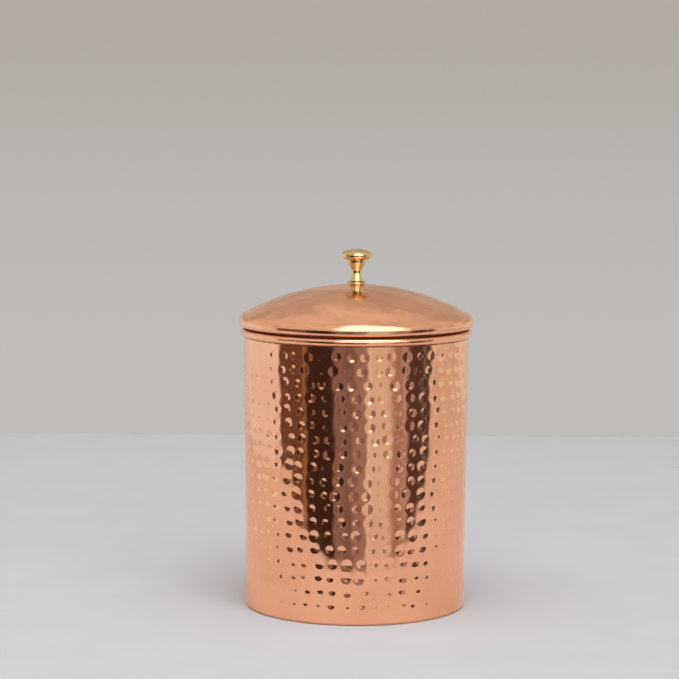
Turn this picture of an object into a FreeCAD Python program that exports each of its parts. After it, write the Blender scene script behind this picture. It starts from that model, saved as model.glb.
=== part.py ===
"""Hammered copper canister for tea or coffee, with a lift-off domed lid and a turned brass knob.

Units are millimetres. +Z is up, and the origin is the centre of the face that the canister stands on.
Every piece but the split lock washer and the screw's slot is turned about the Z axis.
"""
import FreeCAD, Part
import math
import os

# Canister
BASE_RADIUS = 71.0           # outside of the wall where it meets the foot
WALL_TOP_RADIUS = 72.5       # outside of the wall in the crease under the rim
SHEET = 0.8                  # copper sheet of the wall, base and lid
FOOT_BEND_RADIUS = 1.2       # outside of the bend from the wall to the foot flange
FOOT_FLANGE_WIDTH = 5.0      # the turned-in ring that the canister stands on
RIM_CENTRE_RADIUS = 72.15    # centre of the half-round section of the rolled rim
RIM_CENTRE_HEIGHT = 177.4
RIM_SECTION_RADIUS = 2.6     # outside of the copper rolled over the wire
RIM_CURL_END_ANGLE = -74.0   # where the curl stops, just short of the wall
WIRE_CLEARANCE = 0.03

# Lining
LINER_SHEET = 0.5
LINER_GAP = 0.1              # between the lining and the copper wall
LINER_CORNER_RADIUS = 3.0
LINER_TOP_HEIGHT = 179.4     # its edge shows just inside the rim

# Lid
LID_TOP_HEIGHT = 207.9
LID_RADIUS = 75.7            # the lid at its widest
CROWN_RADIUS = 150.0         # the dome's radius of curvature
LIP_RADIUS = 6.0             # the full curve at the lid's edge
HEM_BOTTOM_HEIGHT = 180.9    # underside of the lid's flat hem
HEM_BEND_RADIUS = 2.6        # outside of the bend from the lip to the hem
HEM_END_RADIUS = 69.8        # inner end of the hem

# Inner pan, which closes the lid from below
PAN_SHEET = 0.6
PAN_SKIRT_RADIUS = 67.9
PAN_BEND_RADIUS = 0.8        # outside of the bend from the skirt to the flange
PAN_FLOOR_HEIGHT = 168.2
PAN_RIDGE_RADIUS = 1.0       # section of the ridge that holds the seal up

# Seal, drawn as it sits pressed in the mouth
SEAL_GAP = 0.3               # between the seal and the pan's skirt and ridge
SEAL_FLANGE_RADIUS = 72.9
SEAL_FLANGE_BOTTOM = 180.15
SEAL_FLANGE_TOP = 180.75
SEAL_COLLAR_RADIUS = 69.7
SEAL_FIN_RADIUS = 70.65
SEAL_FIN_SECTION_RADIUS = 0.4
SEAL_FIN_HEIGHTS = [178.2, 175.2, 172.2]

# Knob and its fastening
ROSETTE_RADIUS = 6.0
ROSETTE_THICKNESS = 2.0
ROSETTE_EDGE_RADIUS = 1.0
ROSETTE_TUCK_ANGLE = -60     # where the round edge stops, just above the dome
KNOB_HEIGHT = 21.0           # heights on the knob are measured from its foot
KNOB_FOOT_RADIUS = 4.6
KNOB_FOOT_EDGE = 0.4
KNOB_STEM_CURVE = [          # radius and height, from the flared foot up to the cap's underside
    (3.95, 1.9),
    (3.45, 4.4),
    (3.3, 6.8),
    (4.2, 9.0),
    (5.15, 10.9),
    (5.7, 12.3),
    (5.8, 13.6),
]
KNOB_CAP_RADIUS = 10.0
KNOB_CAP_HEIGHT = 16.9       # where the cap is widest
KNOB_CAP_ROUNDING = 2.4      # roundness of the cap's rim
KNOB_CAP_TUCK_ANGLE = -68    # where the rim's rounding meets the cap's flat underside
KNOB_BORE_RADIUS = 1.55
KNOB_BORE_DEPTH = 9.0
SCREW_RADIUS = 1.5
SCREW_REACH = 8.0            # how far the screw goes up into the knob
SCREW_HOLE_RADIUS = 1.7
SCREW_HEAD_RADIUS = 2.8
SCREW_HEAD_HEIGHT = 2.0
SCREW_HEAD_ROUNDING = 0.6
SCREW_SLOT_WIDTH = 0.8
SCREW_SLOT_DEPTH = 0.9
FLAT_WASHER_RADIUS = 4.5
LOCK_WASHER_RADIUS = 2.7
LOCK_WASHER_SPLIT = 0.7
WASHER_THICKNESS = 0.8

UP = FreeCAD.Vector(0, 0, 1)
CENTRE = FreeCAD.Vector(0, 0, 0)


def point(radius, height):
    return FreeCAD.Vector(radius, 0, height)


def on_circle(centre, radius, angle):
    """The point at this angle on a circle: 0 degrees is outward and 90 is up."""
    turn = math.radians(angle)
    return centre + point(radius * math.cos(turn), radius * math.sin(turn))


class Outline:
    """A closed outline of radius and height, drawn piece by piece and then turned about Z."""

    def __init__(self, radius, height):
        self.first = point(radius, height)
        self.last = self.first
        self.edges = []

    def line_to(self, radius, height):
        self.line_to_point(point(radius, height))
        return self

    def line_to_point(self, end):
        if not self.last.isEqual(end, 1e-6):
            self.edges.append(Part.LineSegment(self.last, end).toShape())
            self.last = end

    def arc_about(self, centre, radius, start_angle, end_angle):
        middle_angle = (start_angle + end_angle) / 2
        self.line_to_point(on_circle(centre, radius, start_angle))
        middle = on_circle(centre, radius, middle_angle)
        end = on_circle(centre, radius, end_angle)
        self.edges.append(Part.Arc(self.last, middle, end).toShape())
        self.last = end
        return self

    def curve_through(self, points):
        """A smooth curve from the last point through the given ones."""
        curve = Part.BSplineCurve()
        curve.interpolate([self.last] + points)
        self.edges.append(curve.toShape())
        self.last = points[-1]
        return self

    def turned(self):
        self.line_to_point(self.first)
        face = Part.Face(Part.Wire(self.edges))
        return face.revolve(CENTRE, UP, 360)


def ring(inner_radius, outer_radius, bottom, top):
    outline = Outline(inner_radius, bottom)
    outline.line_to(outer_radius, bottom)
    outline.line_to(outer_radius, top)
    outline.line_to(inner_radius, top)
    return outline.turned()


def body_wall():
    """Tapered sleeve: foot flange turned in below, rim rolled outward over its wire above."""
    rim_centre = point(RIM_CENTRE_RADIUS, RIM_CENTRE_HEIGHT)
    rim_hollow = RIM_SECTION_RADIUS - SHEET
    inside_top_radius = WALL_TOP_RADIUS - SHEET
    hollow_angle = math.degrees(math.acos((WALL_TOP_RADIUS - RIM_CENTRE_RADIUS) / rim_hollow))
    mouth_rounding = RIM_CENTRE_RADIUS - inside_top_radius
    mouth_centre = point(RIM_CENTRE_RADIUS, RIM_CENTRE_HEIGHT + RIM_SECTION_RADIUS - mouth_rounding)
    crease_height = on_circle(rim_centre, RIM_SECTION_RADIUS, RIM_CURL_END_ANGLE).z
    bend_centre = point(BASE_RADIUS - FOOT_BEND_RADIUS, FOOT_BEND_RADIUS)
    flange_edge = bend_centre.x - FOOT_FLANGE_WIDTH

    outline = Outline(flange_edge, 0)
    outline.arc_about(bend_centre, FOOT_BEND_RADIUS, -90, 0)
    outline.line_to(WALL_TOP_RADIUS, crease_height)
    outline.arc_about(rim_centre, rim_hollow, hollow_angle, RIM_CURL_END_ANGLE)
    outline.arc_about(rim_centre, RIM_SECTION_RADIUS, RIM_CURL_END_ANGLE, 90)
    outline.arc_about(mouth_centre, mouth_rounding, 90, 180)
    outline.line_to(inside_top_radius, crease_height)
    outline.arc_about(bend_centre, FOOT_BEND_RADIUS - SHEET, 0, -90)
    outline.line_to(flange_edge, SHEET)
    return outline.turned()


def rim_wire():
    """Half-round wire, flat against the wall, that the rim is rolled over."""
    section_radius = RIM_SECTION_RADIUS - SHEET - WIRE_CLEARANCE
    flat_radius = WALL_TOP_RADIUS + WIRE_CLEARANCE
    half_angle = math.degrees(math.acos((flat_radius - RIM_CENTRE_RADIUS) / section_radius))
    centre = point(RIM_CENTRE_RADIUS, RIM_CENTRE_HEIGHT)
    lower_corner = on_circle(centre, section_radius, -half_angle)
    outline = Outline(lower_corner.x, lower_corner.z)
    outline.arc_about(centre, section_radius, -half_angle, half_angle)
    return outline.turned()


def base_plate():
    """Disc that rests on the foot flange and closes the sleeve."""
    plate_radius = BASE_RADIUS - FOOT_BEND_RADIUS
    return Part.makeCylinder(plate_radius, SHEET, point(0, SHEET))


def inner_liner():
    """Spun cup that lines the copper, so that the contents never touch it."""
    outer_at_base = BASE_RADIUS - SHEET - LINER_GAP
    outer_at_top = WALL_TOP_RADIUS - SHEET - LINER_GAP
    floor = 2 * SHEET
    corner = point(outer_at_base - LINER_CORNER_RADIUS, floor + LINER_CORNER_RADIUS)

    outline = Outline(0, floor)
    outline.arc_about(corner, LINER_CORNER_RADIUS, -90, 0)
    outline.line_to(outer_at_top, LINER_TOP_HEIGHT)
    outline.line_to(outer_at_top - LINER_SHEET, LINER_TOP_HEIGHT)
    outline.arc_about(corner, LINER_CORNER_RADIUS - LINER_SHEET, 0, -90)
    outline.line_to(0, floor + LINER_SHEET)
    return outline.turned()


def crown_height(radius, depth):
    """Height of the dome at this radius, and this depth below its outside."""
    return LID_TOP_HEIGHT - CROWN_RADIUS + math.sqrt((CROWN_RADIUS - depth) ** 2 - radius ** 2)


def crown_angle(radius, depth):
    return math.degrees(math.acos(radius / (CROWN_RADIUS - depth)))


def lip_centre():
    """Centre of the lip's roll, which is tangent to the dome."""
    reach = CROWN_RADIUS - LIP_RADIUS
    radius = LID_RADIUS - LIP_RADIUS
    height = LID_TOP_HEIGHT - CROWN_RADIUS + math.sqrt(reach ** 2 - radius ** 2)
    return point(radius, height)


def hem_angle():
    """Where the lip's curve gives way to the tighter bend of the hem."""
    drop = lip_centre().z - HEM_BOTTOM_HEIGHT - HEM_BEND_RADIUS
    return -math.degrees(math.asin(drop / (LIP_RADIUS - HEM_BEND_RADIUS)))


def hem_centre():
    return on_circle(lip_centre(), LIP_RADIUS - HEM_BEND_RADIUS, hem_angle())


def lid_dome():
    """Dome with a curved lip, whose edge is hemmed flat underneath to hold the pan."""
    crown_centre = point(0, LID_TOP_HEIGHT - CROWN_RADIUS)
    lip = lip_centre()
    tangent_angle = math.degrees(math.acos(lip.x / (CROWN_RADIUS - LIP_RADIUS)))
    inner_crown = CROWN_RADIUS - SHEET
    hem_top = HEM_BOTTOM_HEIGHT + SHEET

    outline = Outline(SCREW_HOLE_RADIUS, crown_height(SCREW_HOLE_RADIUS, 0))
    outline.arc_about(crown_centre, CROWN_RADIUS, crown_angle(SCREW_HOLE_RADIUS, 0), tangent_angle)
    outline.arc_about(lip, LIP_RADIUS, tangent_angle, hem_angle())
    outline.arc_about(hem_centre(), HEM_BEND_RADIUS, hem_angle(), -90)
    outline.line_to(HEM_END_RADIUS, HEM_BOTTOM_HEIGHT)
    outline.line_to(HEM_END_RADIUS, hem_top)
    outline.arc_about(hem_centre(), HEM_BEND_RADIUS - SHEET, -90, hem_angle())
    outline.arc_about(lip, LIP_RADIUS - SHEET, hem_angle(), tangent_angle)
    outline.arc_about(crown_centre, inner_crown, tangent_angle, crown_angle(SCREW_HOLE_RADIUS, SHEET))
    return outline.turned()


def lid_pan():
    """Flat-bottomed plug: flange held in the lid's hem, skirt in the mouth, ridge under the seal."""
    flange_radius = hem_centre().x
    flange_bottom = HEM_BOTTOM_HEIGHT + SHEET
    flange_top = flange_bottom + PAN_SHEET
    skirt_inside = PAN_SKIRT_RADIUS - PAN_SHEET
    bend_centre = point(PAN_SKIRT_RADIUS + PAN_BEND_RADIUS, flange_bottom - PAN_BEND_RADIUS)
    ridge_centre = point(PAN_SKIRT_RADIUS, PAN_FLOOR_HEIGHT + PAN_RIDGE_RADIUS)
    ridge_inside = PAN_RIDGE_RADIUS - PAN_SHEET

    outline = Outline(flange_radius, flange_bottom)
    outline.arc_about(bend_centre, PAN_BEND_RADIUS, 90, 180)
    outline.arc_about(ridge_centre, PAN_RIDGE_RADIUS, 90, -90)
    outline.line_to(0, PAN_FLOOR_HEIGHT)
    outline.line_to(0, PAN_FLOOR_HEIGHT + PAN_SHEET)
    outline.arc_about(ridge_centre, ridge_inside, -90, 90)
    outline.line_to(skirt_inside, ridge_centre.z + ridge_inside)
    outline.arc_about(bend_centre, PAN_BEND_RADIUS + PAN_SHEET, 180, 90)
    outline.line_to(flange_radius, flange_top)
    return outline.turned()


def seal_ring():
    """L-section ring: flange over the rim, collar round the pan's skirt, fins in the mouth."""
    inside = PAN_SKIRT_RADIUS + SEAL_GAP
    bottom = PAN_FLOOR_HEIGHT + 2 * PAN_RIDGE_RADIUS + SEAL_GAP
    fin_root = SEAL_FIN_RADIUS - SEAL_FIN_SECTION_RADIUS

    outline = Outline(inside, bottom)
    outline.line_to(inside, SEAL_FLANGE_TOP)
    outline.line_to(SEAL_FLANGE_RADIUS, SEAL_FLANGE_TOP)
    outline.line_to(SEAL_FLANGE_RADIUS, SEAL_FLANGE_BOTTOM)
    outline.line_to(SEAL_COLLAR_RADIUS, SEAL_FLANGE_BOTTOM)
    for height in SEAL_FIN_HEIGHTS:
        outline.line_to(SEAL_COLLAR_RADIUS, height + SEAL_FIN_SECTION_RADIUS)
        outline.arc_about(point(fin_root, height), SEAL_FIN_SECTION_RADIUS, 90, -90)
        outline.line_to(SEAL_COLLAR_RADIUS, height - SEAL_FIN_SECTION_RADIUS)
    outline.line_to(SEAL_COLLAR_RADIUS, bottom)
    return outline.turned()


def knob_rosette():
    """Thin round seat between the knob and the dome, hollowed below to the dome's curve."""
    top = LID_TOP_HEIGHT + ROSETTE_THICKNESS
    rounding = point(ROSETTE_RADIUS - ROSETTE_EDGE_RADIUS, top - ROSETTE_EDGE_RADIUS)
    crown_centre = point(0, LID_TOP_HEIGHT - CROWN_RADIUS)
    edge = on_circle(rounding, ROSETTE_EDGE_RADIUS, ROSETTE_TUCK_ANGLE)
    edge_angle = crown_angle(edge.x, 0)
    hole_angle = crown_angle(SCREW_HOLE_RADIUS, 0)

    outline = Outline(SCREW_HOLE_RADIUS, top)
    outline.arc_about(rounding, ROSETTE_EDGE_RADIUS, 90, ROSETTE_TUCK_ANGLE)
    outline.arc_about(crown_centre, CROWN_RADIUS, edge_angle, hole_angle)
    return outline.turned()


def knob():
    """Turned mushroom knob: waisted, bell-shaped stem under a wide low cap, bored for its screw."""
    foot = LID_TOP_HEIGHT + ROSETTE_THICKNESS
    rim_centre = point(KNOB_CAP_RADIUS - KNOB_CAP_ROUNDING, foot + KNOB_CAP_HEIGHT)
    rise = KNOB_HEIGHT - KNOB_CAP_HEIGHT
    tangent_sum = rim_centre.x ** 2 + rise ** 2 - KNOB_CAP_ROUNDING ** 2
    dome_radius = tangent_sum / (2 * (rise - KNOB_CAP_ROUNDING))
    dome_centre = point(0, foot + KNOB_HEIGHT - dome_radius)
    tangent_angle = math.degrees(math.acos(rim_centre.x / (dome_radius - KNOB_CAP_ROUNDING)))
    stem_curve = [point(radius, foot + height) for radius, height in KNOB_STEM_CURVE]

    outline = Outline(KNOB_BORE_RADIUS, foot)
    outline.line_to(KNOB_FOOT_RADIUS, foot)
    outline.line_to(KNOB_FOOT_RADIUS, foot + KNOB_FOOT_EDGE)
    outline.curve_through(stem_curve)
    outline.arc_about(rim_centre, KNOB_CAP_ROUNDING, KNOB_CAP_TUCK_ANGLE, tangent_angle)
    outline.arc_about(dome_centre, dome_radius, tangent_angle, 90)
    outline.line_to(0, foot + KNOB_BORE_DEPTH)
    outline.line_to(KNOB_BORE_RADIUS, foot + KNOB_BORE_DEPTH)
    return outline.turned()


def flat_washer_top():
    """The flat washer's rim bears on the inside of the dome."""
    return crown_height(FLAT_WASHER_RADIUS, SHEET)


def flat_washer():
    top = flat_washer_top()
    return ring(SCREW_HOLE_RADIUS, FLAT_WASHER_RADIUS, top - WASHER_THICKNESS, top)


def lock_washer():
    """Spring washer, split through on one side."""
    top = flat_washer_top() - WASHER_THICKNESS
    bottom = top - WASHER_THICKNESS
    washer = ring(SCREW_HOLE_RADIUS, LOCK_WASHER_RADIUS, bottom, top)
    corner = FreeCAD.Vector(0, -LOCK_WASHER_SPLIT / 2, bottom)
    return washer.cut(Part.makeBox(LOCK_WASHER_RADIUS, LOCK_WASHER_SPLIT, WASHER_THICKNESS, corner))


def knob_screw():
    """Slotted screw, up through the washers, dome and rosette into the knob."""
    head_top = flat_washer_top() - 2 * WASHER_THICKNESS
    head_bottom = head_top - SCREW_HEAD_HEIGHT
    tip = LID_TOP_HEIGHT + ROSETTE_THICKNESS + SCREW_REACH
    shank = Part.makeCylinder(SCREW_RADIUS, tip - head_bottom, point(0, head_bottom))
    head = Part.makeCylinder(SCREW_HEAD_RADIUS, SCREW_HEAD_HEIGHT, point(0, head_bottom))
    lower_edge = [edge for edge in head.Edges if edge.BoundBox.ZMax < head_bottom + 0.01]
    head = head.makeFillet(SCREW_HEAD_ROUNDING, lower_edge)
    corner = FreeCAD.Vector(-SCREW_HEAD_RADIUS, -SCREW_SLOT_WIDTH / 2, head_bottom)
    slot = Part.makeBox(2 * SCREW_HEAD_RADIUS, SCREW_SLOT_WIDTH, SCREW_SLOT_DEPTH, corner)
    return shank.fuse(head).cut(slot).removeSplitter()


PIECES = {
    "body_wall": body_wall,
    "rim_wire": rim_wire,
    "base_plate": base_plate,
    "inner_liner": inner_liner,
    "lid_dome": lid_dome,
    "lid_pan": lid_pan,
    "seal_ring": seal_ring,
    "knob_rosette": knob_rosette,
    "knob": knob,
    "knob_screw": knob_screw,
    "lock_washer": lock_washer,
    "flat_washer": flat_washer,
}

os.makedirs("parts", exist_ok=True)
for name, make in PIECES.items():
    piece = make()
    piece.exportStep("parts/" + name + ".step")
    box = piece.BoundBox
    print(name, "solids", len(piece.Solids), "valid", piece.isValid(), "volume", round(piece.Volume, 1),
          "radius", round(box.XMax, 2), "z", round(box.ZMin, 2), round(box.ZMax, 2))
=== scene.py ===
"""Looks for the hammered copper canister: dented copper, turned brass, spun steel and silicone.

Lengths are metres in the CAD frame: +Z up, origin at the centre of the foot, camera on the -Y side.
"""

import math
import random

import bpy
import numpy as np
from mathutils import Matrix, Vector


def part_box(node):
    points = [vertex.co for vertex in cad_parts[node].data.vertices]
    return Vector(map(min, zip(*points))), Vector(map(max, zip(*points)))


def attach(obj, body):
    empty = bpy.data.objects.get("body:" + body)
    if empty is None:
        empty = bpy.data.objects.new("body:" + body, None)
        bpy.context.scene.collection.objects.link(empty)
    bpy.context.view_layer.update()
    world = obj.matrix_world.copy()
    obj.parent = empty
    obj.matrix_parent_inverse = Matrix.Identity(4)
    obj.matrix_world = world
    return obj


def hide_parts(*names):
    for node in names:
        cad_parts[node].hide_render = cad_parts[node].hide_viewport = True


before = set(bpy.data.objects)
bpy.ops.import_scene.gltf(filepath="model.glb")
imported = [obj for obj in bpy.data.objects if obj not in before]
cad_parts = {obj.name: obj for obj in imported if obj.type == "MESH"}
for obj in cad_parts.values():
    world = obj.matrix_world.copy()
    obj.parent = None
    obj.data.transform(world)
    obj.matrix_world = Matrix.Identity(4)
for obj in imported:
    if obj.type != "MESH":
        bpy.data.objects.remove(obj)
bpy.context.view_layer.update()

MM = 0.001

# Places read from the frame
WALL_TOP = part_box("body_wall")[1]
LID_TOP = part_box("lid_dome")[1]

# Copper wall, as in the CAD part
SHEET = 0.8 * MM
RIM_SECTION_RADIUS = 2.6 * MM
RIM_CENTRE_HEIGHT = WALL_TOP[2] - RIM_SECTION_RADIUS
RIM_CENTRE_RADIUS = WALL_TOP[0] - RIM_SECTION_RADIUS
RIM_CURL_END_ANGLE = -74
WALL_OUTSIDE_RIM_CENTRE = 0.35 * MM
WALL_TAPER = 1.5 * MM             # how much narrower the foot is than the mouth, in radius
WALL_TOP_RADIUS = RIM_CENTRE_RADIUS + WALL_OUTSIDE_RIM_CENTRE
BASE_RADIUS = WALL_TOP_RADIUS - WALL_TAPER
FOOT_BEND_RADIUS = 1.2 * MM
FOOT_FLANGE_WIDTH = 5.0 * MM

# Lid, as in the CAD part
LID_TOP_HEIGHT = LID_TOP[2]
LID_RADIUS = LID_TOP[0]
CROWN_RADIUS = 150 * MM
LIP_RADIUS = 6.0 * MM
HEM_BOTTOM_HEIGHT = 180.9 * MM
HEM_BEND_RADIUS = 2.6 * MM
HEM_END_RADIUS = 69.8 * MM
SCREW_HOLE_RADIUS = 1.7 * MM

# Fineness of the meshes
WALL_STEPS = 760                  # points round the axis
WALL_ROW_PITCH = 0.65 * MM
LID_STEPS = 480
SHARP_ANGLE = 40                  # degrees between faces, above which an edge stays crisp
SKIN_TOLERANCE = 0.01 * MM
REPEAT_DISTANCE = 1e-7

# Hammer marks on the wall
MARKS_AROUND = 50
MARK_ROW_PITCH = 8.6 * MM
MARK_FIRST_ROW = 13.0 * MM
MARK_LAST_ROW = 167.0 * MM
MARK_HALF_WIDTH = 3.8 * MM
MARK_HALF_HEIGHT = 3.9 * MM
MARK_DEPTH = 0.5 * MM
MARK_REACH = 1.1                  # half the square that holds one mark, in half-sizes
ROW_DRIFT = 0.3                   # most that a row shifts against the one below, in marks
MARK_SCATTER = 0.16               # most that a mark strays along its row, in marks
MARK_CLIMB = 0.7 * MM             # most that a mark strays up or down
MARK_SCALES = (0.76, 1.06)
MARK_STRETCHES = (0.94, 1.06)     # height against width
MARK_STRENGTHS = (0.55, 1.05)     # depth against size
MARK_TILT = 0.3                   # radians
MARK_SEED = 7

# Unevenness left by the hammer and by polishing
WALL_RIPPLE = 0.026 * MM
WALL_RIPPLE_LENGTHS = (10 * MM, 24 * MM)
WALL_RIPPLE_SEED = 3
LID_RIPPLE = 0.028 * MM
LID_RIPPLE_LENGTHS = (7 * MM, 13 * MM)
LID_RIPPLE_SEED = 5
RIPPLE_WAVES = 40
RIPPLE_LIMIT = 2.5                # the highest and lowest ripple, in amplitudes

# Camera
CAMERA_BACK = 1472 * MM
CAMERA_HEIGHT = 316 * MM
CAMERA_LEFT = 10.8 * MM
CAMERA_PITCH = 5.58
CAMERA_ROLL = 0.32
CAMERA_LENS = 121.5

# Room: colours seen by the copper at the horizon, by degrees to the camera's right of the front
ROOM_BANDS = [
    (-180, (0.50, 0.40, 0.32)),
    (-140, (0.83, 0.78, 0.72)),
    (-86, (0.86, 0.80, 0.74)),
    (-83, (0.15, 0.075, 0.05)),
    (-57, (0.15, 0.075, 0.05)),
    (-55, (0.34, 0.20, 0.10)),
    (-52, (0.26, 0.15, 0.08)),
    (-50, (0.045, 0.024, 0.018)),
    (-24, (0.045, 0.024, 0.018)),
    (-20, (0.27, 0.18, 0.17)),
    (-13, (0.27, 0.18, 0.17)),
    (-10, (0.20, 0.135, 0.11)),
    (-4, (0.22, 0.15, 0.125)),
    (-1, (0.33, 0.24, 0.22)),
    (10, (0.34, 0.25, 0.225)),
    (13, (0.88, 0.82, 0.74)),
    (16, (0.70, 0.63, 0.54)),
    (30, (0.72, 0.64, 0.55)),
    (36, (0.58, 0.47, 0.38)),
    (40, (0.38, 0.25, 0.20)),
    (46, (0.38, 0.25, 0.20)),
    (49, (0.48, 0.37, 0.34)),
    (52, (0.48, 0.37, 0.34)),
    (56, (0.085, 0.05, 0.042)),
    (71, (0.085, 0.05, 0.042)),
    (73.5, (0.25, 0.23, 0.24)),
    (76, (0.085, 0.05, 0.042)),
    (80, (0.085, 0.05, 0.042)),
    (84, (0.80, 0.72, 0.63)),
    (140, (0.81, 0.73, 0.63)),
    (180, (0.50, 0.40, 0.32)),
]
WALLS_END = (4, 12)               # degrees up, where the bands give way to the ceiling
CEILING = (0.77, 0.64, 0.51)
FAR_WALL = (0.53, 0.42, 0.325)
FAR_WALL_DEPTH = (0.6, 0.8)       # how squarely a ray must head backwards to meet the far wall
CEILING_UNEVENNESS = (0.8, 1.14)
CEILING_PATCHES = 8.0
WINDOW = (2.4, 2.25, 2.05)
WINDOW_SIDES = (-24, -14, 44, 58)
WINDOW_RISE = (5, 12)
BACKDROP_LOW = (0.52, 0.502, 0.487)
BACKDROP_HIGH = (0.44, 0.40, 0.367)
BACKDROP_RISE = (-6, 4)

# Table: its front edge runs just below the picture, a little askew
TABLE_FRONT_LEFT = (-0.6, -0.266)
TABLE_FRONT_RIGHT = (1.6, -0.112)
TABLE_BACK = 0.785
FLOOR_REACH = 6.0
TABLE_TINT = (0.475, 0.525, 0.612)
MIRRORED_TINT = (0.59, 0.55, 0.545)
MIRRORED_LIFT = 0.05 * MM

# Lamp: a large soft rectangle above and in front
LAMP_PLACE = (-0.1, -0.35, 1.3)
LAMP_SIDES = (1.0, 0.8)
LAMP_WATTS = 7
LAMP_COLOUR = (1.0, 0.95, 0.93)


def on_arc(centre, radius, start, end, steps):
    """Points on an arc of radius and height; 0 degrees is outward and 90 is up."""
    turns = np.radians(np.linspace(start, end, steps + 1))
    return [(centre[0] + radius * math.cos(turn), centre[1] + radius * math.sin(turn)) for turn in turns]


def subdivided(start, end, longest):
    """Points along a straight line, no further apart than longest."""
    pieces = math.ceil(math.dist(start, end) / longest)
    return [tuple(point) for point in np.linspace(start, end, pieces + 1)]


def without_repeats(points):
    """The points as an array, without any that lies on the one before it."""
    kept = [points[0]]
    for point in points[1:]:
        if math.dist(point, kept[-1]) > REPEAT_DISTANCE:
            kept.append(point)
    return np.array(kept)


def outward_normals(outline):
    """Unit normals of an outline that runs anticlockwise."""
    along = np.roll(outline, -1, axis=0) - np.roll(outline, 1, axis=0)
    normals = np.stack([along[:, 1], -along[:, 0]], axis=1)
    return normals / np.linalg.norm(normals, axis=1)[:, None]


def ring_grid(outline, steps):
    """Places of every point of the outline at every step round the axis."""
    angles = np.arange(steps) * (2 * math.pi / steps)
    x = np.outer(outline[:, 0], np.cos(angles))
    y = np.outer(outline[:, 0], np.sin(angles))
    z = np.outer(outline[:, 1], np.ones(steps))
    return np.stack([x, y, z], axis=-1)


def turned(name, outline, steps, depth):
    """A closed ring turned about Z from an outline that runs anticlockwise.

    depth is how far each point is pressed in, one row per outline point and one column per step."""
    count = len(outline)
    normals = outward_normals(outline)
    pressed = ring_grid(outline, steps) - ring_grid(normals, steps) * depth[:, :, None]
    index = np.arange(count * steps).reshape(count, steps)
    above = np.roll(index, -1, axis=0)
    corners = [index, np.roll(index, -1, axis=1), np.roll(above, -1, axis=1), above]
    faces = np.stack(corners, axis=-1).reshape(-1, 4)
    mesh = bpy.data.meshes.new(name)
    mesh.from_pydata(pressed.reshape(-1, 3).tolist(), [], faces.tolist())
    mesh.polygons.foreach_set("use_smooth", [True] * len(mesh.polygons))
    mesh.set_sharp_from_angle(angle=math.radians(SHARP_ANGLE))
    piece = bpy.data.objects.new(name, mesh)
    bpy.context.collection.objects.link(piece)
    return piece


def ripple(places, amplitude, lengths, seed):
    """Gentle random unevenness from many waves, as a depth that is never negative."""
    chance = random.Random(seed)
    total = np.zeros(places.shape[:2])
    for _ in range(RIPPLE_WAVES):
        direction = np.array([chance.gauss(0, 1) for _ in range(3)])
        direction /= np.linalg.norm(direction)
        length = chance.uniform(*lengths)
        phase = chance.uniform(0, 2 * math.pi)
        total += np.sin(places @ direction * (2 * math.pi / length) + phase)
    spread = math.sqrt(RIPPLE_WAVES / 2)
    return amplitude * (RIPPLE_LIMIT + np.clip(total / spread, -RIPPLE_LIMIT, RIPPLE_LIMIT))


def press(depth, heights, angle, height, half_width, half_height, deepest, tilt):
    """Presses one oval mark with soft edges into the wall's depths."""
    angles = np.arange(depth.shape[1]) * (2 * math.pi / depth.shape[1])
    reach = MARK_REACH * max(half_width, half_height)
    offset = (angles - angle + math.pi) % (2 * math.pi) - math.pi
    rows = np.nonzero(np.abs(heights - height) < reach)[0]
    columns = np.nonzero(np.abs(offset) * WALL_TOP_RADIUS < reach)[0]
    across = offset[columns][None, :] * WALL_TOP_RADIUS
    up = (heights[rows] - height)[:, None]
    u = (across * math.cos(tilt) + up * math.sin(tilt)) / half_width
    v = (up * math.cos(tilt) - across * math.sin(tilt)) / half_height
    depth[np.ix_(rows, columns)] += deepest * np.clip(1 - u * u - v * v, 0, 1) ** 2


def hammer_marks(heights, steps):
    """Depths of the hammered wall: rows of marks whose columns drift as they climb."""
    chance = random.Random(MARK_SEED)
    depth = np.zeros((len(heights), steps))
    rows = round((MARK_LAST_ROW - MARK_FIRST_ROW) / MARK_ROW_PITCH)
    phase = 0.0
    for row in range(rows + 1):
        phase += chance.uniform(-ROW_DRIFT, ROW_DRIFT)
        row_height = MARK_FIRST_ROW + row * MARK_ROW_PITCH
        for column in range(MARKS_AROUND):
            place = column + phase + chance.uniform(-MARK_SCATTER, MARK_SCATTER)
            angle = place * 2 * math.pi / MARKS_AROUND
            scale = chance.uniform(*MARK_SCALES)
            height = row_height + chance.uniform(-MARK_CLIMB, MARK_CLIMB)
            half_width = MARK_HALF_WIDTH * scale
            half_height = MARK_HALF_HEIGHT * scale * chance.uniform(*MARK_STRETCHES)
            deepest = MARK_DEPTH * scale * chance.uniform(*MARK_STRENGTHS)
            tilt = chance.uniform(-MARK_TILT, MARK_TILT)
            press(depth, heights, angle % (2 * math.pi), height, half_width, half_height, deepest, tilt)
    return depth


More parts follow.
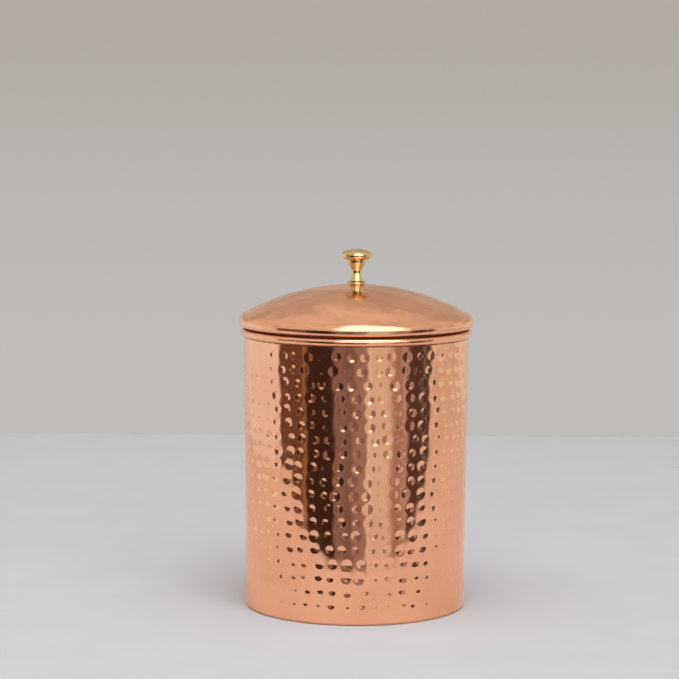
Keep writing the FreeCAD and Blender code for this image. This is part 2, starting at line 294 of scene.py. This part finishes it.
def make_wall():
    """The canister's sheet, from the foot flange up the outside and back down the inside."""
    foot = (BASE_RADIUS - FOOT_BEND_RADIUS, FOOT_BEND_RADIUS)
    flange_edge = foot[0] - FOOT_FLANGE_WIDTH
    rim = (RIM_CENTRE_RADIUS, RIM_CENTRE_HEIGHT)
    rim_hollow = RIM_SECTION_RADIUS - SHEET
    hollow_angle = math.degrees(math.acos((WALL_TOP_RADIUS - RIM_CENTRE_RADIUS) / rim_hollow))
    inside_top_radius = WALL_TOP_RADIUS - SHEET
    mouth_rounding = RIM_CENTRE_RADIUS - inside_top_radius
    mouth = (RIM_CENTRE_RADIUS, WALL_TOP[2] - mouth_rounding)
    crease = RIM_CENTRE_HEIGHT + RIM_SECTION_RADIUS * math.sin(math.radians(RIM_CURL_END_ANGLE))

    points = [(flange_edge, 0)]
    points += on_arc(foot, FOOT_BEND_RADIUS, -90, 0, 6)
    points += subdivided((BASE_RADIUS, FOOT_BEND_RADIUS), (WALL_TOP_RADIUS, crease), WALL_ROW_PITCH)
    points += on_arc(rim, rim_hollow, hollow_angle, RIM_CURL_END_ANGLE, 12)
    points += on_arc(rim, RIM_SECTION_RADIUS, RIM_CURL_END_ANGLE, 90, 26)
    points += on_arc(mouth, mouth_rounding, 90, 180, 5)
    points += [(inside_top_radius, crease)]
    points += on_arc(foot, FOOT_BEND_RADIUS - SHEET, 0, -90, 4)
    points += [(flange_edge, SHEET)]
    outline = without_repeats(points)

    radius, height = outline[:, 0], outline[:, 1]
    slope = (WALL_TOP_RADIUS - BASE_RADIUS) / (crease - FOOT_BEND_RADIUS)
    outer_face = BASE_RADIUS + slope * (height - FOOT_BEND_RADIUS)
    hammered = (np.abs(radius - outer_face) < SKIN_TOLERANCE) & (height < crease)
    depth = hammer_marks(np.where(hammered, height, -1.0), WALL_STEPS)
    outside = radius > outer_face - SKIN_TOLERANCE
    places = ring_grid(outline, WALL_STEPS)
    depth += outside[:, None] * ripple(places, WALL_RIPPLE, WALL_RIPPLE_LENGTHS, WALL_RIPPLE_SEED)
    wall = turned("hammered_wall", outline, WALL_STEPS, depth)
    return placed(wall, "canister", "body_wall")


def make_dome():
    """The lid's sheet: dome, curved lip and flat hem, with the soft facets of planishing."""
    lip_radius = LID_RADIUS - LIP_RADIUS
    reach = CROWN_RADIUS - LIP_RADIUS
    crown = (0.0, LID_TOP_HEIGHT - CROWN_RADIUS)
    lip = (lip_radius, crown[1] + math.sqrt(reach ** 2 - lip_radius ** 2))
    tangent = math.degrees(math.acos(lip_radius / reach))
    drop = lip[1] - HEM_BOTTOM_HEIGHT - HEM_BEND_RADIUS
    hem_angle = -math.degrees(math.asin(drop / (LIP_RADIUS - HEM_BEND_RADIUS)))
    hem = on_arc(lip, LIP_RADIUS - HEM_BEND_RADIUS, hem_angle, hem_angle, 1)[0]
    outer_start = math.degrees(math.acos(SCREW_HOLE_RADIUS / CROWN_RADIUS))
    inner_start = math.degrees(math.acos(SCREW_HOLE_RADIUS / (CROWN_RADIUS - SHEET)))

    points = on_arc(crown, CROWN_RADIUS - SHEET, inner_start, tangent, 30)
    points += on_arc(lip, LIP_RADIUS - SHEET, tangent, hem_angle, 16)
    points += on_arc(hem, HEM_BEND_RADIUS - SHEET, hem_angle, -90, 10)
    points += [(HEM_END_RADIUS, HEM_BOTTOM_HEIGHT + SHEET), (HEM_END_RADIUS, HEM_BOTTOM_HEIGHT)]
    points += on_arc(hem, HEM_BEND_RADIUS, -90, hem_angle, 18)
    points += on_arc(lip, LIP_RADIUS, hem_angle, tangent, 30)
    points += on_arc(crown, CROWN_RADIUS, tangent, outer_start, 110)
    outline = without_repeats(points)

    places = ring_grid(outline, LID_STEPS)
    skin = np.hypot(outline[:, 0], outline[:, 1] - crown[1])
    outside = (skin > CROWN_RADIUS - SHEET / 2) & (outline[:, 1] > lip[1])
    depth = outside[:, None] * ripple(places, LID_RIPPLE, LID_RIPPLE_LENGTHS, LID_RIPPLE_SEED)
    dome = turned("planished_lid", outline, LID_STEPS, depth)
    return placed(dome, "lid", "lid_dome")


def placed(piece, body, node):
    """Puts a piece on its body in place of its CAD node."""
    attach(piece, body)
    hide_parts(node)
    return piece


class Nodes:
    """Short calls for building a node tree."""

    def __init__(self, tree):
        self.tree = tree

    def add(self, kind, inputs=(), **settings):
        """Adds a node. inputs maps socket names or numbers to values or to other nodes' outputs."""
        node = self.tree.nodes.new(kind)
        for name, value in settings.items():
            setattr(node, name, value)
        for name, value in dict(inputs).items():
            if isinstance(value, bpy.types.NodeSocket):
                self.tree.links.new(value, node.inputs[name])
            else:
                node.inputs[name].default_value = value
        return node

    def math(self, operation, first, second=0.0):
        return self.add("ShaderNodeMath", {0: first, 1: second}, operation=operation).outputs[0]

    def remap(self, value, low, high, to_low=0.0, to_high=1.0):
        inputs = {"Value": value, "From Min": low, "From Max": high, "To Min": to_low, "To Max": to_high}
        mapped = self.add("ShaderNodeMapRange", inputs, interpolation_type="SMOOTHSTEP")
        return mapped.outputs["Result"]

    def blend(self, factor, first, second):
        inputs = {"Factor": factor, "A": padded(first), "B": padded(second)}
        return self.add("ShaderNodeMix", inputs, data_type="RGBA").outputs["Result"]


def padded(colour):
    """Adds the alpha that a colour socket wants, and leaves another node's output alone."""
    return colour if isinstance(colour, bpy.types.NodeSocket) else (*colour, 1)


class Surface(Nodes):
    """A principled material built from procedural nodes, placed by the piece's own coordinates."""

    def __init__(self, name, metallic):
        self.made = bpy.data.materials.new(name)
        self.made.use_nodes = True
        super().__init__(self.made.node_tree)
        self.shader = self.tree.nodes["Principled BSDF"]
        self.shader.inputs["Metallic"].default_value = metallic
        self.place = self.add("ShaderNodeTexCoord").outputs["Object"]
        self.axes = self.add("ShaderNodeSeparateXYZ", {0: self.place}).outputs

    def noise(self, size, detail=3.0, at=None):
        inputs = {"Vector": at or self.place, "Scale": 1 / size, "Detail": detail}
        return self.add("ShaderNodeTexNoise", inputs).outputs["Fac"]

    def turning_lines(self, width):
        """Noise that runs in rings about the piece's axis."""
        x_squared = self.math("POWER", self.axes["X"], 2)
        y_squared = self.math("POWER", self.axes["Y"], 2)
        radius = self.math("SQRT", self.math("ADD", x_squared, y_squared))
        ring = self.add("ShaderNodeCombineXYZ", {0: radius, 1: self.axes["Z"], 2: 0.0}).outputs[0]
        return self.noise(width, 2.0, ring)

    def near_height(self, height, width):
        """1 at this height, falling to 0 this far above and below it."""
        away = self.math("ABSOLUTE", self.math("SUBTRACT", self.axes["Z"], height))
        return self.remap(away, 0.0, width, 1.0, 0.0)

    def finish(self, colour, roughness, bump, height):
        """Joins up the shader, with the bump raised by this height, and gives the material."""
        self.tree.links.new(colour, self.shader.inputs["Base Color"])
        self.tree.links.new(roughness, self.shader.inputs["Roughness"])
        relief = self.add("ShaderNodeBump", {"Height": bump, "Strength": 1.0, "Distance": height})
        self.tree.links.new(relief.outputs[0], self.shader.inputs["Normal"])
        return self.made


def hammered_copper():
    """Polished copper, darkened to brown in the crease under the rim by painted shade with some tarnish,
    and darker brown along the foot.
    """
    copper = Surface("hammered_copper", 1.0)
    patch = copper.remap(copper.noise(38 * MM), 0.38, 0.66)
    clean = copper.blend(patch, (0.95, 0.545, 0.37), (0.90, 0.50, 0.335))
    # Painted shade with some tarnish: a dark brown band along the crease under the rim.
    crease = copper.near_height(RIM_CENTRE_HEIGHT - RIM_SECTION_RADIUS, 0.9 * MM)
    # Darker brown along the foot, at half strength.
    foot = copper.near_height(0.0, 2.2 * MM)
    crease_shade_and_dark_foot = copper.math("MULTIPLY", copper.math("MAXIMUM", crease, copper.math("MULTIPLY", foot, 0.5)),
                        copper.remap(copper.noise(3 * MM), 0.25, 0.6, 0.65, 1.0))
    # The painted crease shade and the darker foot, mixed into the copper as dark brown.
    colour = copper.blend(crease_shade_and_dark_foot, clean, (0.20, 0.07, 0.03))
    smears = copper.remap(copper.noise(12 * MM, 4.0), 0.35, 0.7, 0.07, 0.12)
    roughness = copper.math("ADD", smears, copper.math("MULTIPLY", crease_shade_and_dark_foot, 0.35))
    return copper.finish(colour, roughness, copper.noise(0.8 * MM, 4.0), 0.002 * MM)


def lid_copper():
    """Polished copper with faint rings from the polishing wheel, and painted shade with some tarnish along
    the hem's lower edge.
    """
    copper = Surface("lid_copper", 1.0)
    patch = copper.remap(copper.noise(30 * MM), 0.36, 0.66)
    clean = copper.blend(patch, (0.94, 0.54, 0.365), (0.88, 0.495, 0.335))
    # Painted shade with some tarnish: the lowest half millimetre of the hem, in the gap over the rim,
    # darkened to brown.
    hem = copper.remap(copper.axes["Z"], HEM_BOTTOM_HEIGHT, HEM_BOTTOM_HEIGHT + 0.5 * MM, 0.8, 0.0)
    colour = copper.blend(hem, clean, (0.30, 0.11, 0.05))
    rings = copper.turning_lines(0.5 * MM)
    smears = copper.remap(copper.noise(14 * MM, 4.0), 0.35, 0.7, 0.09, 0.17)
    roughness = copper.math("ADD", smears, copper.math("MULTIPLY", rings, 0.05))
    return copper.finish(colour, roughness, rings, 0.002 * MM)


def base_copper():
    """Satin copper, dulled and scratched where it is seldom polished."""
    copper = Surface("base_copper", 1.0)
    dulled = copper.remap(copper.noise(16 * MM, 5.0), 0.35, 0.65)
    colour = copper.blend(dulled, (0.80, 0.43, 0.28), (0.50, 0.26, 0.17))
    roughness = copper.math("ADD", copper.math("MULTIPLY", dulled, 0.2), 0.3)
    return copper.finish(colour, roughness, copper.turning_lines(0.35 * MM), 0.01 * MM)


def turned_brass():
    """Polished brass with fine lathe lines, darker at the foot."""
    brass = Surface("turned_brass", 1.0)
    patch = brass.remap(brass.noise(7 * MM), 0.35, 0.65)
    clean = brass.blend(patch, (0.76, 0.63, 0.34), (0.67, 0.55, 0.28))
    # Darker brown in a narrow band at the knob's foot.
    foot = brass.near_height(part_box("knob")[0][2], 0.7 * MM)
    colour = brass.blend(foot, clean, (0.26, 0.16, 0.06))
    lines = brass.turning_lines(0.22 * MM)
    roughness = brass.math("ADD", brass.math("MULTIPLY", lines, 0.06), 0.07)
    return brass.finish(colour, roughness, lines, 0.001 * MM)


def spun_steel():
    """Satin stainless steel with rings from spinning and a few dull patches."""
    steel = Surface("spun_steel", 1.0)
    rings = steel.turning_lines(0.6 * MM)
    patch = steel.remap(steel.noise(25 * MM, 4.0), 0.35, 0.65)
    shade = steel.blend(patch, (0.62, 0.61, 0.59), (0.54, 0.53, 0.51))
    colour = steel.blend(steel.remap(rings, 0.4, 0.6, 0.0, 0.35), shade, (0.46, 0.455, 0.44))
    roughness = steel.math("ADD", steel.math("MULTIPLY", rings, 0.14), 0.2)
    return steel.finish(colour, roughness, rings, 0.006 * MM)


def drawn_wire():
    """Plain steel wire, drawn to size and slightly oxidised."""
    steel = Surface("drawn_wire", 1.0)
    scale = steel.remap(steel.noise(4 * MM, 5.0), 0.35, 0.65)
    colour = steel.blend(scale, (0.45, 0.44, 0.43), (0.30, 0.25, 0.21))
    roughness = steel.math("ADD", steel.math("MULTIPLY", scale, 0.2), 0.3)
    return steel.finish(colour, roughness, steel.turning_lines(0.3 * MM), 0.006 * MM)


def zinc_plate():
    """Zinc-plated steel with a slightly mottled, bluish grey."""
    zinc = Surface("zinc_plate", 1.0)
    mottle = zinc.remap(zinc.noise(0.9 * MM, 3.0), 0.35, 0.65)
    colour = zinc.blend(mottle, (0.58, 0.60, 0.63), (0.44, 0.46, 0.49))
    roughness = zinc.math("ADD", zinc.math("MULTIPLY", mottle, 0.15), 0.25)
    return zinc.finish(colour, roughness, mottle, 0.006 * MM)


def dark_silicone():
    """Matt dark silicone with a little dust on it; its reddish brown is partly a painted reflection of the
    copper in the gap under the lid.
    """
    silicone = Surface("dark_silicone", 0.0)
    silicone.shader.inputs["Specular IOR Level"].default_value = 0.1
    dust = silicone.remap(silicone.noise(5 * MM, 5.0), 0.45, 0.75, 0.0, 0.5)
    # Reddish brown: partly the silicone's own colour, partly a painted reflection of the copper glow in the
    # gap under the lid.
    colour = silicone.blend(dust, (0.13, 0.045, 0.02), (0.17, 0.075, 0.04))
    roughness = silicone.math("ADD", silicone.math("MULTIPLY", dust, 0.3), 0.5)
    return silicone.finish(colour, roughness, silicone.noise(0.5 * MM, 3.0), 0.01 * MM)


def pale_table(name, tint):
    """Smooth painted surface with a barely visible mottle."""
    table = Surface(name, 0.0)
    table.shader.inputs["Specular IOR Level"].default_value = 0.0
    mottle = table.remap(table.noise(60 * MM, 4.0), 0.3, 0.7)
    colour = table.blend(mottle, tint, tuple(0.975 * channel for channel in tint))
    roughness = table.math("ADD", table.math("MULTIPLY", mottle, 0.1), 0.55)
    return table.finish(colour, roughness, table.noise(1.5 * MM, 3.0), 0.01 * MM)


def dress(piece, made):
    piece.data.materials.clear()
    piece.data.materials.append(made)


def make_world():
    """Plain backdrop for the camera, and for the metal a room of upright light and dark bands."""
    world = bpy.data.worlds.new("room")
    bpy.context.scene.world = world
    world.use_nodes = True
    world.node_tree.nodes.clear()
    room = Nodes(world.node_tree)
    direction = room.add("ShaderNodeTexCoord").outputs["Generated"]
    axes = room.add("ShaderNodeSeparateXYZ", {0: direction}).outputs
    azimuth = room.math("ARCTAN2", axes["X"], room.math("MULTIPLY", axes["Y"], -1.0))
    degrees = room.math("MULTIPLY", azimuth, 180 / math.pi)
    elevation = room.math("MULTIPLY", room.math("ARCSINE", axes["Z"]), 180 / math.pi)
    turn = room.math("ADD", room.math("DIVIDE", degrees, 360.0), 0.5)

    ramp = room.add("ShaderNodeValToRGB", {"Fac": turn})
    stops = ramp.color_ramp.elements
    stops.remove(stops[0])
    stops[0].position = 0.0
    stops[0].color = (*ROOM_BANDS[0][1], 1)
    for angle, colour in ROOM_BANDS[1:]:
        stops.new((angle + 180) / 360).color = (*colour, 1)

    above = room.blend(room.remap(axes["Y"], *FAR_WALL_DEPTH), CEILING, FAR_WALL)
    patches = room.add("ShaderNodeTexNoise", {"Vector": direction, "Scale": CEILING_PATCHES, "Detail": 3.0})
    unevenness = room.remap(patches.outputs["Fac"], 0.35, 0.65, *CEILING_UNEVENNESS)
    above = room.add("ShaderNodeVectorMath", {0: above, "Scale": unevenness}, operation="SCALE").outputs[0]
    with_ceiling = room.blend(room.remap(elevation, *WALLS_END), ramp.outputs["Color"], above)
    left, left_full, right_full, right = WINDOW_SIDES
    beside = room.math("MULTIPLY", room.remap(degrees, left, left_full),
                       room.remap(degrees, right_full, right, 1.0, 0.0))
    window = room.math("MULTIPLY", beside, room.remap(elevation, *WINDOW_RISE))
    seen_by_metal = room.blend(window, with_ceiling, WINDOW)

    is_camera = room.add("ShaderNodeLightPath").outputs["Is Camera Ray"]
    plain = room.blend(room.remap(elevation, *BACKDROP_RISE), BACKDROP_LOW, BACKDROP_HIGH)
    backdrop = room.add("ShaderNodeBackground", {"Color": plain}).outputs[0]
    around = room.add("ShaderNodeBackground", {"Color": seen_by_metal}).outputs[0]
    choice = room.add("ShaderNodeMixShader", {0: is_camera, 1: around, 2: backdrop}).outputs[0]
    room.add("ShaderNodeOutputWorld", {"Surface": choice})


def flat_stage(name, corners, height, made):
    mesh = bpy.data.meshes.new(name)
    mesh.from_pydata([(x, y, height) for x, y in corners], [], [tuple(range(len(corners)))])
    mesh.materials.append(made)
    piece = bpy.data.objects.new(name, mesh)
    bpy.context.collection.objects.link(piece)
    return piece


def make_stage():
    """Table as the camera sees it, and the warmer and shorter one that the copper mirrors."""
    reach = FLOOR_REACH
    corners = [(-reach, -reach), (reach, -reach), (reach, TABLE_BACK), (-reach, TABLE_BACK)]
    table = flat_stage("table", corners, 0.0, pale_table("pale_table", TABLE_TINT))
    table.visible_glossy = False
    corners = [TABLE_FRONT_LEFT, TABLE_FRONT_RIGHT,
               (TABLE_FRONT_RIGHT[0], TABLE_BACK), (TABLE_FRONT_LEFT[0], TABLE_BACK)]
    made = pale_table("mirrored_table", MIRRORED_TINT)
    mirrored = flat_stage("table_mirrored", corners, MIRRORED_LIFT, made)
    mirrored.visible_camera = False
    mirrored.visible_diffuse = False
    mirrored.visible_shadow = False


def make_lamp():
    """The soft lamp that lights the table and isn't mirrored in the copper."""
    light = bpy.data.lights.new("overhead", "AREA")
    light.shape = "RECTANGLE"
    light.size, light.size_y = LAMP_SIDES
    light.energy = LAMP_WATTS
    light.color = LAMP_COLOUR
    lamp = bpy.data.objects.new("overhead", light)
    lamp.location = LAMP_PLACE
    lamp.visible_glossy = False
    bpy.context.collection.objects.link(lamp)


def make_camera():
    data = bpy.data.cameras.new("camera")
    data.lens = CAMERA_LENS
    data.sensor_width = 36
    camera = bpy.data.objects.new("camera", data)
    bpy.context.collection.objects.link(camera)
    tilt = Matrix.Rotation(math.radians(90 - CAMERA_PITCH), 4, "X")
    roll = Matrix.Rotation(math.radians(CAMERA_ROLL), 4, "Z")
    place = Matrix.Translation((-CAMERA_LEFT, -CAMERA_BACK, CAMERA_HEIGHT))
    camera.matrix_world = place @ tilt @ roll
    bpy.context.scene.camera = camera


bpy.context.scene.view_settings.view_transform = "Standard"
make_camera()
make_world()
make_stage()
make_lamp()
dress(make_wall(), hammered_copper())
dress(make_dome(), lid_copper())
NODE_LOOKS = [
    (("knob", "knob_rosette"), turned_brass()),
    (("inner_liner", "lid_pan"), spun_steel()),
    (("rim_wire",), drawn_wire()),
    (("knob_screw", "lock_washer", "flat_washer"), zinc_plate()),
    (("base_plate",), base_copper()),
    (("seal_ring",), dark_silicone()),
]
for node_names, look in NODE_LOOKS:
    for node_name in node_names:
        dress(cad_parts[node_name], look)
